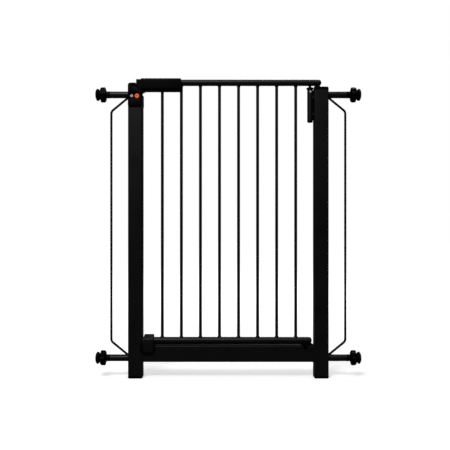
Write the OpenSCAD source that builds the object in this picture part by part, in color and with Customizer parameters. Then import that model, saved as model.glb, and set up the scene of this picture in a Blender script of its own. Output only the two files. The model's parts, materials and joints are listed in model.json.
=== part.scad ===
// Pressure-fit safety gate: a welded U-shaped frame braced between two walls by four
// screw feet, with a self-closing gate that slides and lifts out of its latch.
// Millimetres, Z up, X across the doorway, -Y towards the side the gate opens to.

/* [Frame] */
// Clear distance between the two posts
open_w = 484; // [420:1:640]
// Height of the hinge post's steel above the floor
post_h = 812; // [680:1:980]
// Width of a post across the doorway
post_w = 40; // [36:1:48]
// Depth of a post
post_d = 36; // [34:1:44]
// Wall of the posts and the crossbar
post_wall = 1.5; // [1:0.1:2]
// Corner radius of the posts
post_r = 3; // [2:0.5:4]
// Height of a plastic foot below a post
foot_h = 7.5; // [5:0.5:10]
// Height of the cap on the hinge post
cap_h = 8; // [5:0.5:10]
// Depth that a foot or cap plugs into its post
cap_plug = 14; // [8:1:20]
// Height of the crossbar's underside
cross_z = 46; // [36:1:54]
// Height of the crossbar's section
cross_h = 45.5; // [38:0.5:54]
// Depth of the crossbar's section
cross_d = 32; // [28:1:34]

/* [Side braces] */
// Diameter of a side tube
tube_d = 19; // [18:0.5:22]
// Wall of a side tube
tube_wall = 1.2; // [1:0.1:1.6]
// Length of a side tube outside its post
tube_len = 52; // [45:1:66]
// Height of the lower side tubes
tube_low_z = 55; // [46:1:66]
// Distance of the upper side tubes below the posts' top
tube_drop = 12; // [11:1:18]
// Diameter of the filler wire
wire_d = 6.5; // [5:0.5:7]
// Distance of the wire from the post
wire_out = 49.5; // [40:0.5:60]
// Slope of the wire's end legs, from upright
wire_angle = 50.5; // [40:0.5:60]
// Bend radius of the wire
wire_bend_r = 14; // [8:1:20]

/* [Screw feet] */
// Diameter of the screw rod
rod_d = 10; // [8:0.5:11]
// Length of rod kept behind the head beyond the foot's travel
rod_hold = 40; // [37:1:55]
// Travel of a screw foot
foot_travel = 35; // [25:1:38]
// Thickness of the bush's collar
collar_t = 12.6; // [6:0.1:14]
// Depth that the bush plugs into its tube
bush_plug = 18; // [12:1:24]
// Diameter of the hand wheel over its lobes
wheel_d = 43; // [38:1:46]
// Width of the hand wheel
wheel_w = 14.6; // [12:0.1:20]
// Number of lobes on the hand wheel
wheel_lobes = 8; // [5:1:10]
// Length of the foot pad
pad_len = 13; // [12:0.1:16]
// Diameter of the foot pad
pad_d = 33.7; // [30:0.1:40]

/* [Gate panel] */
// Diameter of the top rail
top_rail_d = 18; // [16:0.5:20]
// Gap between the hinge post's cap and the top rail
top_gap = 5.2; // [4:0.1:8]
// Length of top rail beyond the hinge axis
top_rail_over = 26.2; // [18:0.1:34]
// Diameter of the bottom rail
low_rail_d = 20; // [18:0.5:20]
// Gap between the crossbar and the bottom rail
low_gap = 2.7; // [2.7:0.1:6]
// Wall of both rails
rail_wall = 1.4; // [1:0.1:1.8]
// Length of a rail plug's domed end
plug_dome = 6; // [4:0.5:7]
// Diameter of an upright bar
bar_d = 8.5; // [6:0.5:10]
// Number of upright bars
bar_count = 8; // [6:1:8]
// Distance between two bars' centres
bar_pitch = 54; // [50:0.5:56]
// Distance from the latch post to the first bar
bar_start = 55; // [54:0.5:62]
// Height that the panel lifts
lift = 12; // [8:1:13]

/* [Hinge] */
// Distance of the hinge axis from its post
hinge_in = 10.5; // [10.5:0.1:13]
// Diameter of the spring barrel
barrel_d = 16; // [15:0.5:18]
// Length of the spring barrel's tube
barrel_len = 90; // [80:1:120]
// Thickness of the barrel cap's flange
flange_t = 4.3; // [3:0.1:6]
// Diameter of the barrel cap's flange
flange_d = 20; // [18:0.5:21]
// Diameter of the hinge pin's round neck
neck_d = 7; // [5:0.1:7]
// Length of the spring driver
driver_len = 30; // [24:1:36]
// Diameter of the lower hinge pin
low_pin_d = 8; // [6:0.5:10]
// Length of the lower hinge pin
low_pin_len = 26; // [24:1:30]

/* [Latch] */
// Depth of the latch housing
house_d = 46; // [44:1:50]
// Height of the latch housing
house_h = 64.4; // [60:0.1:70]
// Depth of the handle
handle_d = 33; // [30:0.5:36]
// Height of the handle
handle_h = 35.5; // [34:0.5:42]
// Wall of the handle's shells
shell_wall = 2.2; // [1.6:0.1:2.6]
// Radius of the gate nose's curved underside
nose_r = 28; // [26:0.5:30]
// Width of the lock bolt
bolt_w = 10; // [8:0.5:12]
// Height of the lock bolt
bolt_h = 8; // [6:0.5:8.5]
// Travel of the lock bolt
bolt_travel = 11; // [9:0.5:12]
// Diameter of the release button
button_d = 12.8; // [10:0.1:13.4]
// Width of the stop clip
clip_w = 26.9; // [22:0.1:32]
// Diameter of the lock peg
peg_d = 6; // [5:0.5:8]

/* [Fits] */
// Play of a sliding or turning fit
slip = 0.05; // [0.03:0.01:0.08]
// Gap between pieces that pass each other
gap = 0.6; // [0.4:0.1:0.8]
// Gap beside a washer face that turns
face_gap = 0.4; // [0.3:0.1:0.6]

/* [Hidden] */
$fn = 64;

steel = "#232427";
plastic = "#0c0c0d";
rubber = "#08080a";
zinc = "#b9bcbf";
orange = "#f8571c";
big = 2000;

half_open = open_w / 2;
post_out = half_open + post_w;
post_mid = half_open + post_w / 2;
tube_top_z = post_h - tube_drop;
left_post_top = tube_top_z + tube_d / 2;
tube_end = post_out + tube_len;
collar_end = tube_end + collar_t;
wheel_end = collar_end + face_gap + wheel_w;
pad_start = wheel_end + face_gap;
pad_end = pad_start + pad_len;
rod_r = rod_d / 2;
rod_bore_r = rod_r + slip;
tube_bore_r = tube_d / 2 - tube_wall;
rod_head_r = 8;
rod_head_t = 3;
rod_head_x = pad_start + 2.5;

wire_sides = 16;
wire_sink = 3;

cross_top = cross_z + cross_h;
cross_r = 2;
top_rail_r = top_rail_d / 2;
low_rail_r = low_rail_d / 2;
top_rail_z = post_h + cap_h + top_gap + top_rail_r;
low_rail_z = cross_top + low_gap + low_rail_r;
hinge_x = half_open - hinge_in;
first_bar_x = -half_open + bar_start;
second_bar_x = first_bar_x + bar_pitch;
bar_r = bar_d / 2;

// Hinge stack, from the cap's top down
cap_top = post_h + cap_h;
barrel_top = cap_top - flange_t;
barrel_low = barrel_top - barrel_len;
barrel_r = barrel_d / 2;
barrel_wall = 1.2;
barrel_bore_r = barrel_r - barrel_wall;
skirt_len = 11.7;
skirt_low = barrel_top - skirt_len;
driver_top = skirt_low - 2;
driver_low = driver_top - driver_len;
plug_skirt = 10;
neck_r = neck_d / 2;
square_w = 0.7 * neck_d;
square_low = driver_low + 3;
neck_low = driver_top + 1;
rivet_z = barrel_top - 8;
rivet_r = 1.5;
spring_wire_r = 0.8;
spring_r = barrel_bore_r - 2;

// Lower hinge
low_pin_r = low_pin_d / 2;
bush_flange_t = 1.2;
bush_body_r = low_pin_r + 3;
bush_body_len = 31;
cradle_low = low_rail_z - low_rail_r - (low_gap - bush_flange_t - face_gap);

// Handle and latch, placed from the rail and the latch post's inner face
latch_x = -half_open;
handle_left = latch_x - 4.6;
handle_right = second_bar_x;
handle_top = top_rail_z + 10.8;
handle_low = handle_top - handle_h;
handle_r = 4;
shell_edge_r = 7;
nose_top = top_rail_z + 7.3;
nose_left = latch_x - 17.4;
nose_mid_x = nose_left + nose_r;
nose_mid_z = top_rail_z - 2.2;
nose_d = handle_d - 3;
nose_tail_low = handle_low - 10.5;
nose_tail_r = 10.5;
nose_plug = 9;
deck_z = handle_top - 2.8;
rail_left = first_bar_x - bar_r - 2;
seat_t = 2.5;
seat_x = rail_left - seat_t - 0.5;
bolt_z = top_rail_z - 20.2;
bolt_tip = nose_left - 8.6;
bolt_tail = seat_x - 19;
stem_l = 7;
stem_w = 7;
slider_l = 26;
slider_w = 14;
slider_left = bolt_tail - 17;
slider_t = 2.3;

house_top = top_rail_z - 4.2;
house_low = house_top - house_h;
house_left = -post_out;
house_r = 8;
house_edge_r = 3;
pill_left = latch_x - 35;
pill_right = latch_x - 4.5;
pill_z = tube_top_z - 7;
pill_r = 9;
pill_depth = 1.8;
button_x = latch_x - 14;
button_r = button_d / 2;
button_flange_r = button_r + 1;
button_flange_t = 1.5;
button_face = 1.4;
screw_r = 1.6;
screw_head_r = 3.2;
cover_screw_x = latch_x - 29;
cover_screw_r = 4.8;
scoop_x = latch_x - 23;
scoop_r = 6.5;
scoop_depth = 3;

// Stop clip and its cup at the gate's lower free corner
clip_left = latch_x + 3.9;
clip_mid = clip_left + clip_w / 2;
clip_low = cross_top - 16.5;
clip_front = post_d / 2 + 4.5;
clip_back = low_rail_r + 3;
tongue_t = 3.2;
cup_plate = clip_front - tongue_t - gap;
cup_left = latch_x - 6;
cup_right = clip_left + clip_w + 4.6;
cup_low = clip_low - 5;
cup_shelf_t = 1.1;
peg_r = peg_d / 2;
peg_hole_r = peg_r + gap;
peg_socket_r = peg_r + 2.5;
peg_len = lift - 2;

// ---------- shared shapes ----------

// Rectangle centred on the origin with round corners
module round_rect(w, h, r) {
  square([w - 2 * r, h], center = true);
  square([w, h - 2 * r], center = true);
  for (x = [-1, 1], y = [-1, 1])
    translate([x * (w / 2 - r), y * (h / 2 - r)]) circle(r);
}

// Upright prism of a round rectangle
module round_prism(w, d, h, r) {
  linear_extrude(h) round_rect(w, d, r);
}

// Box given by its two corners
module span(low, high) {
  translate(low) cube(high - low);
}

// Cylinder along +X from x0 to x1
module rod_x(r, x0, x1, z = 0) {
  translate([x0, 0, z]) rotate([0, 90, 0]) cylinder(r = r, h = x1 - x0);
}

// Cylinder along +Y from y0 to y1
module rod_y(r, y0, y1, x, z) {
  translate([x, y0, z]) rotate([-90, 0, 0]) cylinder(r = r, h = y1 - y0);
}

// Flat outline in X and Z, made d deep and centred on Y = 0
module slab_xz(d) {
  translate([0, d / 2, 0]) rotate([90, 0, 0]) linear_extrude(d) children();
}

// Outline along X and radius, turned about the X axis
module turned_x(points) {
  rotate([0, 90, 0]) rotate_extrude() polygon([for (p = points) [p[1], p[0]]]);
}

// Solid skinned over a list of rings of points, closed by its first and last ring
module skinned(rings) {
  sides = len(rings[0]);
  count = len(rings);
  skin = [
    for (i = [0:count - 2], k = [0:sides - 1])
      let (next = (k + 1) % sides)
        [i * sides + k, (i + 1) * sides + k, (i + 1) * sides + next, i * sides + next]
  ];
  first = [for (k = [0:sides - 1]) k];
  last = [for (k = [sides - 1:-1:0]) (count - 1) * sides + k];
  polyhedron([for (ring = rings) each ring], concat([first, last], skin));
}

// Helical spring standing on z = 0
module coil(r, wire_r, length, turns) {
  sides = 6;
  steps = 14;
  rise = (length - 2 * wire_r) / (turns * steps);
  skinned([
    for (i = [0:turns * steps])
      let (turn = 360 * i / steps)
        [
          for (k = [0:sides - 1])
            let (a = 360 * k / sides + 30, out = r + wire_r * cos(a))
              [out * cos(turn), out * sin(turn), wire_r + rise * i + wire_r * sin(a)]
        ]
  ]);
}

// ---------- frame ----------

module post_block(side, top) {
  translate([side * post_mid, 0, foot_h]) round_prism(post_w, post_d, top - foot_h, post_r);
}

module post_tube(side, top) {
  difference() {
    post_block(side, top);
    translate([side * post_mid, 0, 0]) round_prism(post_w - 2 * post_wall, post_d - 2 * post_wall,
      big, post_r - post_wall / 2);
  }
}

// Room for the gate's nose at the latch post's inner top corner
module latch_relief() {
  span([latch_x - 6.8, -big, left_post_top - 13.5], [latch_x + big, big, big]);
}

module left_post() {
  color(steel) difference() {
    post_tube(-1, left_post_top);
    latch_relief();
    rod_y(button_r + 0.1, -post_d, 0, button_x, pill_z);
    rod_y(screw_r, -post_d, 0, cover_screw_x, pill_z);
    rod_y(screw_r, 0, post_d, -post_mid, house_low + 15);
  }
}

module right_post() {
  color(steel) post_tube(1, post_h);
}

module crossbar() {
  inner = cross_r - post_wall / 2;
  color(steel) difference() {
    translate([-half_open, 0, cross_z + cross_h / 2]) rotate([90, 0, 90])
      round_prism(cross_d, cross_h, open_w, cross_r);
    translate([-half_open, 0, cross_z + cross_h / 2]) rotate([90, 0, 90])
      round_prism(cross_d - 2 * post_wall, cross_h - 2 * post_wall, open_w, inner);
    translate([hinge_x, 0, cross_top - 5]) cylinder(r = bush_body_r, h = 10);
    translate([clip_mid, 0, cross_top - 5]) cylinder(r = peg_socket_r, h = 10);
  }
}

module foot_cap(side) {
  bevel = 1.5;
  plug_gap = 2 * post_wall;
  color(plastic) translate([side * post_mid, 0, 0]) {
    translate([0, 0, bevel]) round_prism(post_w, post_d, foot_h - bevel, post_r);
    round_prism(post_w - bevel, post_d - bevel, bevel, post_r);
    translate([0, 0, foot_h]) difference() {
      round_prism(post_w - plug_gap, post_d - plug_gap, cap_plug, post_r - post_wall / 2);
      translate([0, 0, 2]) round_prism(post_w - plug_gap - 4, post_d - plug_gap - 4, big, 1);
    }
  }
}

module left_foot_cap() {
  foot_cap(-1);
}

module right_foot_cap() {
  foot_cap(1);
}

module right_post_cap() {
  plug_gap = 2 * post_wall;
  crown_r = 5;
  rest_l = 17;
  rest_d = 14;
  color(plastic) {
    intersection() {
      translate([post_mid, 0, post_h]) round_prism(post_w, post_d, cap_h, post_r);
      translate([post_mid, 0, post_h]) slab_xz(post_d)
        round_rect(post_w, 2 * cap_h, crown_r);
    }
    translate([half_open + 9.5, 0, cap_top]) slab_xz(rest_d)
      round_rect(rest_l, 2 * (top_gap - gap), 3);
    translate([post_mid, 0, post_h - cap_plug]) difference() {
      round_prism(post_w - plug_gap, post_d - plug_gap, cap_plug, post_r - post_wall / 2);
      translate([0, 0, -2]) round_prism(post_w - plug_gap - 4, post_d - plug_gap - 4, cap_plug, 1);
    }
  }
}

// ---------- side braces ----------

module side_tubes(side) {
  color(steel) for (z = [tube_low_z, tube_top_z]) {
    mirror([side < 0 ? 1 : 0, 0, 0]) difference() {
      rod_x(tube_d / 2, post_out, tube_end, z);
      rod_x(tube_bore_r, post_out - 1, tube_end + 1, z);
    }
  }
}

module left_side_tubes() {
  side_tubes(-1);
}

module right_side_tubes() {
  side_tubes(1);
}

// Ring of the wire where its bend has turned by a degrees from upright, about a bend's centre.
// An end ring is cut off square with the post's face.
function wire_ring(centre_z, a, at_post) = [
  for (k = [0:wire_sides - 1])
    let (
      turn = 360 * k / wire_sides,
      out = wire_bend_r + wire_d / 2 * cos(turn),
      x = post_out + wire_out - wire_bend_r + out * cos(a),
      slide = at_post ? (x - post_out) / sin(a) : 0
    )
      [x - slide * sin(a), wire_d / 2 * sin(turn), centre_z + out * sin(a) + slide * cos(a)]
];

module right_wire() {
  reach = wire_out / tan(wire_angle) + wire_bend_r * tan(wire_angle / 2) - wire_sink;
  low_z = tube_low_z + tube_d / 2 + reach;
  high_z = tube_top_z - tube_d / 2 - reach;
  steps = 6;
  rings = concat(
    [wire_ring(low_z, -wire_angle, true)],
    [for (i = [0:steps]) wire_ring(low_z, -wire_angle * (1 - i / steps), false)],
    [for (i = [0:steps]) wire_ring(high_z, wire_angle * i / steps, false)],
    [wire_ring(high_z, wire_angle, true)]
  );
  difference() {
    skinned(rings);
    span([0, -post_d, tube_top_z - tube_d / 2], [big, post_d, big]);
    span([0, -post_d, 0], [big, post_d, tube_low_z + tube_d / 2]);
  }
}

module left_filler_wire() {
  color(steel) mirror([1, 0, 0]) right_wire();
}

module right_filler_wire() {
  color(steel) right_wire();
}

module tube_bush() {
  bevel = 1;
  color(plastic) difference() {
    union() {
      rod_x(tube_bore_r, tube_end - bush_plug, tube_end);
      turned_x([
        [tube_end, 0], [tube_end, tube_d / 2 + 0.2], [collar_end - bevel, tube_d / 2 + 0.2],
        [collar_end, tube_d / 2 - bevel], [collar_end, 0]
      ]);
    }
    rod_x(rod_bore_r, 0, big);
  }
}

// One screw foot's pieces stand at each of the four tube ends
module at_corner(side, z) {
  translate([0, 0, z]) mirror([side < 0 ? 1 : 0, 0, 0]) children();
}

module tube_bushes() {
  for (side = [-1, 1], z = [tube_low_z, tube_top_z])
    at_corner(side, z) tube_bush();
}

module screw_rod() {
  color(zinc) {
    rod_x(rod_r, rod_head_x - foot_travel - rod_hold, rod_head_x);
    rod_x(rod_head_r, rod_head_x, rod_head_x + rod_head_t);
  }
}

module foot_pad() {
  pad_r = pad_d / 2;
  color(rubber) difference() {
    turned_x([
      [pad_start, 0], [pad_start, pad_r - 5.4], [pad_start + 2, pad_r - 4.5],
      [pad_end - 9, pad_r - 1.9], [pad_end - 8, pad_r - 0.5], [pad_end - 7, pad_r],
      [pad_end - 3.4, pad_r], [pad_end - 1.6, pad_r - 2.2], [pad_end - 0.4, pad_r - 4.6],
      [pad_end, pad_r - 5.8], [pad_end, 0]
    ]);
    rod_x(rod_r, 0, rod_head_x);
    rod_x(rod_head_r, rod_head_x, rod_head_x + rod_head_t);
  }
}

module hand_wheel() {
  wheel_r = wheel_d / 2;
  lobe_r = 6;
  core_r = wheel_r - 2.6;
  start = collar_end + face_gap;
  bevel = 2.4;
  color(plastic) difference() {
    intersection() {
      union() {
        rod_x(core_r, start, wheel_end);
        for (k = [0:wheel_lobes - 1])
          rotate([360 * k / wheel_lobes, 0, 0]) translate([0, 0, wheel_r - lobe_r])
            rod_x(lobe_r, start, wheel_end);
      }
      turned_x([
        [start, 0], [start, wheel_r - bevel], [start + bevel, wheel_r],
        [wheel_end - bevel, wheel_r], [wheel_end, wheel_r - bevel], [wheel_end, 0]
      ]);
    }
    rod_x(rod_bore_r, 0, big);
    difference() {
      rod_x(core_r - 3, wheel_end - 5, wheel_end + 1);
      rod_x(rod_r + 4, wheel_end - 5, wheel_end + 1);
    }
  }
}

module rod_left_top() {
  at_corner(-1, tube_top_z) screw_rod();
}

module rod_left_low() {
  at_corner(-1, tube_low_z) screw_rod();
}

module rod_right_top() {
  at_corner(1, tube_top_z) screw_rod();
}

module rod_right_low() {
  at_corner(1, tube_low_z) screw_rod();
}

module pad_left_top() {
  at_corner(-1, tube_top_z) foot_pad();
}

module pad_left_low() {
  at_corner(-1, tube_low_z) foot_pad();
}

module pad_right_top() {
  at_corner(1, tube_top_z) foot_pad();
}

module pad_right_low() {
  at_corner(1, tube_low_z) foot_pad();
}

module wheel_left_top() {
  at_corner(-1, tube_top_z) hand_wheel();
}

module wheel_left_low() {
  at_corner(-1, tube_low_z) hand_wheel();
}

module wheel_right_top() {
  at_corner(1, tube_top_z) hand_wheel();
}

module wheel_right_low() {
  at_corner(1, tube_low_z) hand_wheel();
}

// ---------- hinge ----------

module barrel_solid(z0, z1) {
  translate([hinge_x, 0, z0]) cylinder(r = barrel_r, h = z1 - z0);
}

module hinge_barrel() {
  color(steel) difference() {
    barrel_solid(barrel_low, barrel_top);
    translate([hinge_x, 0, 0]) cylinder(r = barrel_bore_r, h = big);
    rod_y(rivet_r, -big, 0, hinge_x, rivet_z);
  }
}

module barrel_weld_tabs() {
  tab_h = 5.5;
  tab_w = 9;
  web_t = 2;
  color(steel) difference() {
    union() {
      for (drop = [0.27, 0.8]) {
        z = barrel_top - drop * barrel_len;
        span([hinge_x, -tab_w / 2, z - tab_h / 2], [half_open, tab_w / 2, z + tab_h / 2]);
      }
      span([hinge_x, tab_w / 2 - web_t, barrel_low + 3], [half_open, tab_w / 2, barrel_top - 3]);
    }
    barrel_solid(0, big);
  }
}

module barrel_cap() {
  color(plastic) difference() {
    translate([hinge_x, 0, 0]) {
      translate([0, 0, barrel_top]) cylinder(r = flange_d / 2, h = flange_t - 1);
      translate([0, 0, cap_top - 1]) cylinder(r1 = flange_d / 2, r2 = flange_d / 2 - 1, h = 1);
      translate([0, 0, skirt_low]) cylinder(r = barrel_bore_r, h = skirt_len);
    }
    translate([hinge_x, 0, 0]) cylinder(r = neck_r + slip, h = big);
    rod_y(rivet_r, -big, -neck_r - 1, hinge_x, rivet_z);
  }
}

module barrel_plug() {
  color(plastic) translate([hinge_x, 0, barrel_low]) difference() {
    union() {
      translate([0, 0, -4]) cylinder(r1 = barrel_r - 1, r2 = barrel_r, h = 4);
      cylinder(r = barrel_bore_r, h = plug_skirt);
    }
    translate([0, 0, 2]) cylinder(r = 2.5, h = plug_skirt);
  }
}

module barrel_rivet() {
  head_r = 2.9;
  color(zinc) difference() {
    union() {
      rod_y(rivet_r, -barrel_r - 0.5, -neck_r - 1, hinge_x, rivet_z);
      rod_y(head_r, -barrel_r - 1.3, -barrel_r + 1.2, hinge_x, rivet_z);
    }
    difference() {
      barrel_solid(0, big);
      rod_y(rivet_r, -big, 0, hinge_x, rivet_z);
    }
  }
}

module closing_spring() {
  start = barrel_low + plug_skirt;
  color(zinc) translate([hinge_x, 0, start])
    coil(spring_r, spring_wire_r, driver_low - start, 15);
}

// Hub inside the barrel: turns with the gate, while the square pin slides through it
module hinge_driver() {
  hole_w = square_w + 2 * slip;
  color(zinc) translate([hinge_x, 0, driver_low]) difference() {
    cylinder(r = barrel_bore_r - slip, h = driver_len);
    translate([-hole_w / 2, -hole_w / 2, -1]) cube([hole_w, hole_w, driver_len + 2]);
  }
}

module upper_hinge_pin() {
  color(steel) difference() {
    translate([hinge_x, 0, 0]) {
      translate([-square_w / 2, -square_w / 2, square_low])
        cube([square_w, square_w, neck_low - square_low]);
      translate([0, 0, neck_low]) cylinder(r = neck_r, h = top_rail_z - neck_low);
      translate([0, 0, top_rail_z - top_rail_r - 1.6])
        cylinder(r1 = neck_r, r2 = neck_r + 2, h = 2.6);
    }
    rod_x(top_rail_r, 0, big, top_rail_z);
  }
}

// Pin and the cradle that welds it under the bottom rail's end
module lower_hinge_pin() {
  cradle_w = 11;
  color(steel) difference() {
    union() {
      translate([hinge_x, 0, cradle_low - low_pin_len]) cylinder(r = low_pin_r, h = low_pin_len);
      translate([hinge_x, 0, cradle_low]) cylinder(r = cradle_w / 2, h = 3.4);
      span([hinge_x - 24, -cradle_w / 2, cradle_low], [hinge_x, cradle_w / 2, cradle_low + 3.4]);
    }
    rod_x(low_rail_r, 0, hinge_x - 1, low_rail_z);
    rail_dome(hinge_x - 1, 1, low_rail_r, low_rail_z);
  }
}

module lower_hinge_bush() {
  lip_x = hinge_x - 15.5;
  lip_t = 1.8;
  color(plastic) difference() {
    union() {
      span([hinge_x - 25, -cross_d / 2, cross_top],
        [half_open - 1, cross_d / 2 - 2, cross_top + bush_flange_t]);
      translate([hinge_x, 0, cross_top - bush_body_len])
        cylinder(r = bush_body_r, h = bush_body_len);
      span([lip_x - 7, -cross_d / 2 - lip_t, cross_top - 4],
        [lip_x + 7, -cross_d / 2, cross_top + bush_flange_t]);
      intersection() {
        rod_y(7, -cross_d / 2 - lip_t, -cross_d / 2, lip_x, cross_top - 1);
        span([lip_x - 7, -big, cross_top - 8], [lip_x + 7, big, cross_top]);
      }
    }
    translate([hinge_x, 0, 0]) cylinder(r = low_pin_r + slip, h = big);
  }
}

// ---------- gate panel ----------

module rail_tube(r, x0, x1, z) {
  difference() {
    rod_x(r, x0, x1, z);
    rod_x(r - rail_wall, x0 - 1, x1 + 1, z);
  }
}

// Domed end of a rail plug, pointing along side from the tube's end at x
module rail_dome(x, side, r, z) {
  dome_r = (r * r + plug_dome * plug_dome) / (2 * plug_dome);
  translate([x, 0, z]) mirror([side < 0 ? 1 : 0, 0, 0]) intersection() {
    rod_x(r, 0, plug_dome);
    translate([plug_dome - dome_r, 0, 0]) rotate([0, 90, 0]) sphere(dome_r);
  }
}

module rail_plug(x, side, r, z) {
  plug_in = 12;
  rail_dome(x, side, r, z);
  translate([x, 0, z]) mirror([side > 0 ? 1 : 0, 0, 0]) rod_x(r - rail_wall, 0, plug_in);
}

module top_rail() {
  color(steel) rail_tube(top_rail_r, rail_left, hinge_x + top_rail_over, top_rail_z);
}

module top_rail_plug() {
  color(plastic) rail_plug(hinge_x + top_rail_over, 1, top_rail_r, top_rail_z);
}

module bottom_rail() {
  color(steel) difference() {
    rail_tube(low_rail_r, clip_left + 4.7, hinge_x - 1, low_rail_z);
    rod_y(screw_r, 0, big, clip_mid, low_rail_z);
  }
}

module bottom_rail_plugs() {
  color(plastic) {
    rail_plug(hinge_x - 1, 1, low_rail_r, low_rail_z);
    difference() {
      rail_plug(clip_left + 4.7, -1, low_rail_r, low_rail_z);
      rod_y(screw_r, 0, big, clip_mid, low_rail_z);
    }
  }
}

module bar_at(k) {
  translate([first_bar_x + k * bar_pitch, 0, low_rail_z])
    cylinder(r = bar_r, h = top_rail_z - low_rail_z);
}

module upright_bars() {
  color(steel) for (k = [0:bar_count - 1])
    difference() {
      bar_at(k);
      rod_x(low_rail_r, -half_open, half_open, low_rail_z);
      rod_x(top_rail_r, -half_open, half_open, top_rail_z);
    }
}

// ---------- handle, bolt and thumb slider ----------

module handle_outline() {
  mid_x = (handle_left + handle_right) / 2;
  mid_z = (handle_top + handle_low) / 2;
  difference() {
    translate([mid_x, mid_z]) round_rect(handle_right - handle_left, handle_h, handle_r);
    translate([handle_left, handle_low]) square([handle_r, handle_r]);
  }
  translate([handle_left, handle_low]) square([handle_r, handle_h / 2]);
}

module handle_envelope() {
  mid_z = (handle_top + handle_low) / 2;
  intersection() {
    slab_xz(handle_d) handle_outline();
    translate([handle_left, 0, mid_z]) rotate([90, 0, 90])
      round_prism(handle_d, handle_h, handle_right - handle_left, shell_edge_r);
  }
}

module handle_cavity() {
  inner_d = handle_d - 2 * shell_wall;
  floor_z = handle_low + shell_wall;
  inner_r = shell_edge_r - shell_wall;
  roof_z = handle_top - shell_wall;
  translate([handle_left - 1, 0, (floor_z + roof_z) / 2]) rotate([90, 0, 90])
    round_prism(inner_d, roof_z - floor_z, handle_right - shell_wall - handle_left + 1, inner_r);
}

// Spring seat and rail ribs that stand inside the shells
module handle_ribs() {
  rib_x = second_bar_x - 29;
  intersection() {
    handle_cavity();
    union() {
      span([seat_x, -handle_d, handle_low], [seat_x + seat_t, handle_d, handle_top]);
      span([rib_x, -handle_d, handle_low], [rib_x + 3, handle_d, handle_top]);
      span([slider_left - 4, -handle_d, deck_z - shell_wall],
        [rail_left - 0.5, handle_d, handle_top]);
      for (x = [first_bar_x + 12, second_bar_x - 17])
        rod_y(3.6, -handle_d / 2, handle_d / 2, x, handle_low + 8);
    }
  }
}

module handle_body() {
  slot_left = bolt_tail - stem_l - 0.5;
  deck_left = slider_left - 1;
  deck_right = slider_left + slider_l + bolt_travel + 1;
  difference() {
    union() {
      difference() {
        handle_envelope();
        handle_cavity();
      }
      handle_ribs();
    }
    span([deck_left, -slider_w / 2 - 0.5, deck_z], [deck_right, slider_w / 2 + 0.5, big]);
    span([slot_left, -stem_w / 2 - 0.5, deck_z - shell_wall - 1],
      [slot_left + stem_l + bolt_travel + 1, stem_w / 2 + 0.5, big]);
    rod_x(top_rail_r, rail_left, big, top_rail_z);
    bar_at(0);
    bar_at(1);
    for (x = [first_bar_x + 12, second_bar_x - 17]) {
      rod_y(screw_r, -handle_d / 2 + 5, big, x, handle_low + 8);
      rod_y(screw_head_r, handle_d / 2 - 2, big, x, handle_low + 8);
    }
  }
}

module handle_front_shell() {
  color(plastic) intersection() {
    handle_body();
    span([-big, -big, 0], [big, 0, big]);
  }
}

module handle_rear_shell() {
  color(plastic) intersection() {
    handle_body();
    span([-big, 0, 0], [big, big, big]);
  }
}

module handle_screws() {
  color(zinc) for (x = [first_bar_x + 12, second_bar_x - 17]) {
    rod_y(screw_r, -handle_d / 2 + 6, handle_d / 2 - 2, x, handle_low + 8);
    rod_y(screw_head_r - 0.2, handle_d / 2 - 2, handle_d / 2 - 0.5, x, handle_low + 8);
  }
}

// Side view of the nose, grown outwards by more
module nose_outline(more) {
  tail_left = handle_left - 0.4 - more;
  intersection() {
    union() {
      translate([nose_mid_x, nose_mid_z]) circle(nose_r + more);
      translate([nose_left - more, nose_mid_z]) square([nose_r, big]);
    }
    translate([nose_left - more, 0]) square([handle_left - nose_left + more, nose_top + more]);
  }
  difference() {
    translate([tail_left, nose_tail_low - more])
      square([nose_tail_r + 1 + more, handle_low - nose_tail_low + more]);
    translate([tail_left + nose_tail_r + 1 + more, nose_tail_low - more])
      circle(nose_tail_r);
  }
}

module bolt_bar(more) {
  span([bolt_tip, -bolt_w / 2 - more, bolt_z - more],
    [bolt_tail, bolt_w / 2 + more, bolt_z + bolt_h + more]);
}

module handle_nose() {
  inner_d = handle_d - 2 * shell_wall;
  color(plastic) difference() {
    union() {
      slab_xz(nose_d) nose_outline(0);
      intersection() {
        handle_cavity();
        span([handle_left, -inner_d / 2, 0], [handle_left + nose_plug, inner_d / 2, big]);
      }
    }
    bolt_bar(slip);
  }
}

module lock_bolt() {
  spigot_r = 1.8;
  bevel = 1.5;
  color(zinc) {
    difference() {
      bolt_bar(0);
      translate([bolt_tip, 0, bolt_z]) rotate([0, 45, 0]) cube([2 * bevel, big, 2 * bevel], center = true);
    }
    rod_x(spigot_r, bolt_tail, bolt_tail + 6, bolt_z + bolt_h / 2);
  }
}

module thumb_slider() {
  pad_low = deck_z + 0.3;
  ridge_r = 0.5;
  color(plastic) difference() {
    union() {
      translate([slider_left + slider_l / 2, 0, pad_low]) round_prism(slider_l, slider_w, slider_t, 3);
      span([bolt_tail - stem_l, -stem_w / 2, bolt_z + bolt_h], [bolt_tail, stem_w / 2, pad_low + 1]);
    }
    for (k = [1:6])
      rod_y(ridge_r, -slider_w, slider_w, slider_left + k * slider_l / 7, pad_low + slider_t);
  }
}

module bolt_spring() {
  color(zinc) translate([bolt_tail, 0, bolt_z + bolt_h / 2]) rotate([0, 90, 0])
    coil(2.8, 0.4, seat_x - bolt_tail, 7);
}

// ---------- latch housing ----------

module house_outline() {
  bevel = 2;
  right = latch_x + 0.3;
  difference() {
    polygon([
      [house_left + bevel, house_low], [right - bevel, house_low], [right, house_low + bevel],
      [right, house_top], [house_left, house_top], [house_left, house_low + bevel]
    ]);
    difference() {
      translate([house_left, house_top - house_r]) square(house_r);
      translate([house_left + house_r, house_top - house_r]) circle(house_r);
    }
  }
}

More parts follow.
